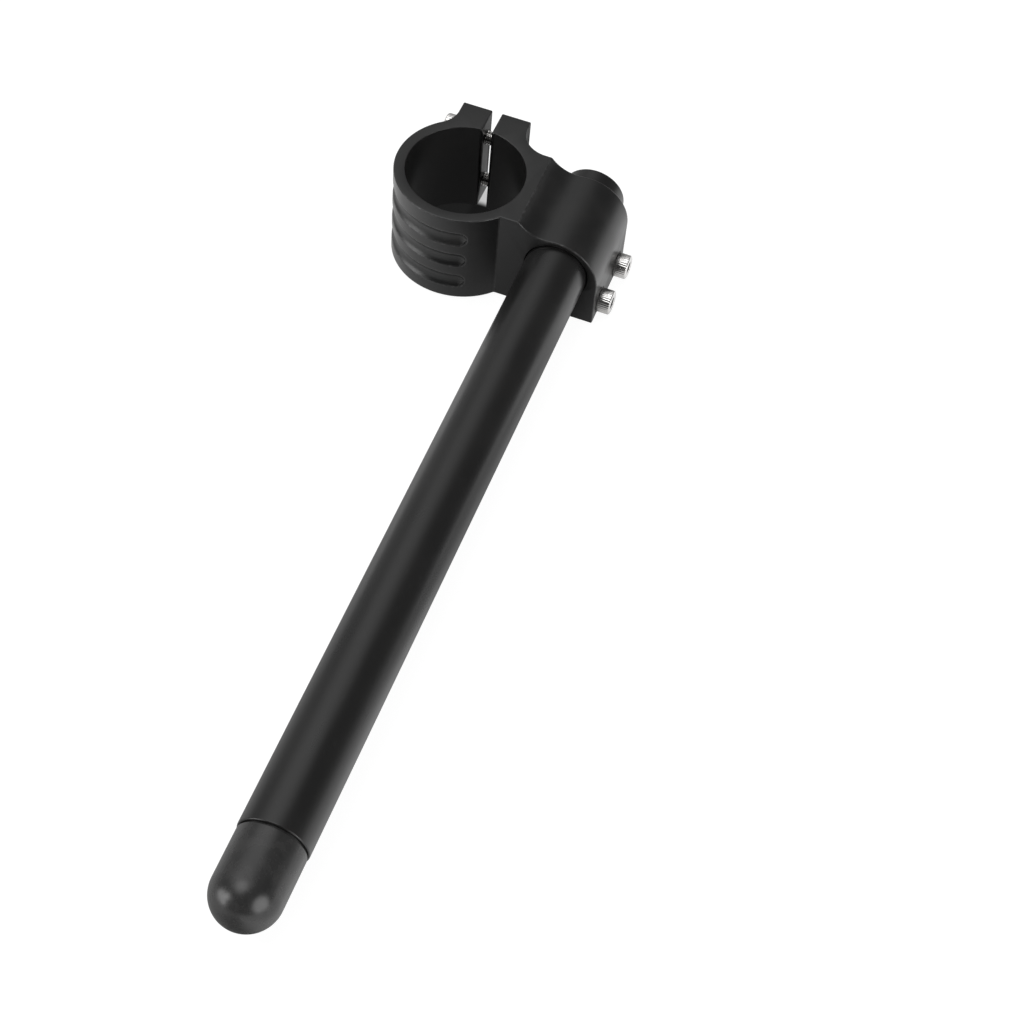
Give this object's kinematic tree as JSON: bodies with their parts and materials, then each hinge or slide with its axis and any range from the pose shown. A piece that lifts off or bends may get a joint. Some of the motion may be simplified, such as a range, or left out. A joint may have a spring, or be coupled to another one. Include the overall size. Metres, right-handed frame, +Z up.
{
  "type": "clip on handlebar",
  "caption": "Motorcycle clip-on handlebar: split clamp for a 41 mm fork tube with a round bar held beside it, pinched by cap screws and closed by a domed plug.",
  "frame": {"origin": "middle of the fork bore, at half the height of the clamp", "axes": "+Z up along the fork tube, +X along the bar towards the hand, +Y from the fork tube to the bar"},
  "size_m": [0.3062, 0.0836, 0.037],
  "materials": {
    "clamp_black": "black anodised, satin, milled from one block",
    "bar_black": "black anodised tube, satin",
    "plug_grey": "moulded dark grey rubber, dull",
    "screw_zinc": "bright zinc-plated steel"
  },
  "bodies": {
    "root": {"clamp_body": "clamp_black", "bar_tube": "bar_black", "bar_end_plug": "plug_grey", "fork_screw_upper": "screw_zinc", "fork_screw_lower": "screw_zinc", "jaw_screw_inner": "screw_zinc", "jaw_screw_outer": "screw_zinc"}
  },
  "joints": []
}
